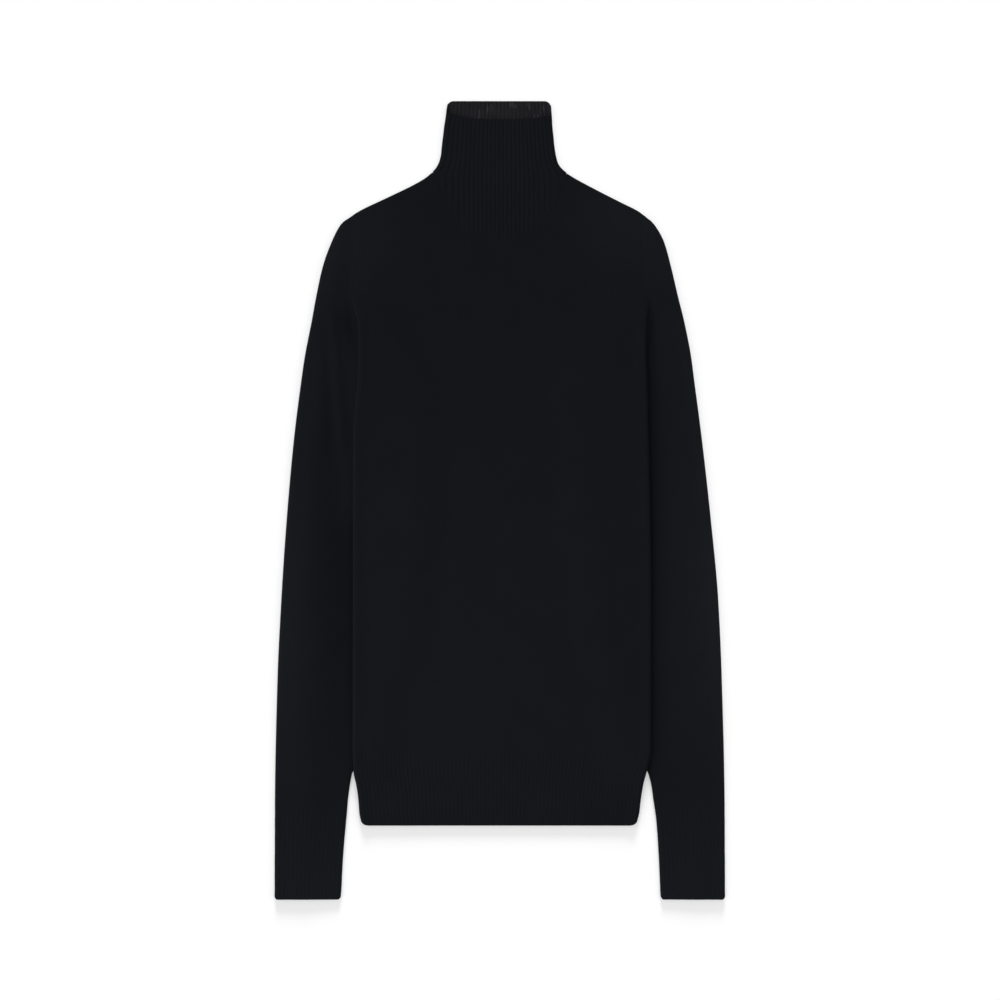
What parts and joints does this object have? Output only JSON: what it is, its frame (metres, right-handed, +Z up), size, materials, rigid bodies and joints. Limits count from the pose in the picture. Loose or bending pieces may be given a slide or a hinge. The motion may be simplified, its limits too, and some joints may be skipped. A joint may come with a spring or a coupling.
{
  "type": "turtleneck sweater",
  "caption": "Fine-knit turtleneck sweater laid flat on its back, sleeves down at its sides, with ribbed collar, cuffs and hem.",
  "frame": {"origin": "middle of the flat garment's footprint, on the surface that it lies on", "axes": "+Z is up from the surface, out of the front of the garment; +Y runs from the hem to the collar; +X is the wearer's left"},
  "size_m": [0.4954, 0.8776, 0.0096],
  "materials": {
    "plain_knit": "fine matt plain knit of soft wool, near-black navy",
    "rib_knit": "matt one-by-one rib of the same soft wool, near-black navy"
  },
  "bodies": {
    "root": {"front_panel": "plain_knit", "back_panel": "plain_knit", "sleeve_left": "plain_knit", "sleeve_right": "plain_knit", "hem_rib_front": "rib_knit", "hem_rib_back": "rib_knit", "cuff_left": "rib_knit", "cuff_right": "rib_knit", "collar": "rib_knit"}
  },
  "joints": []
}
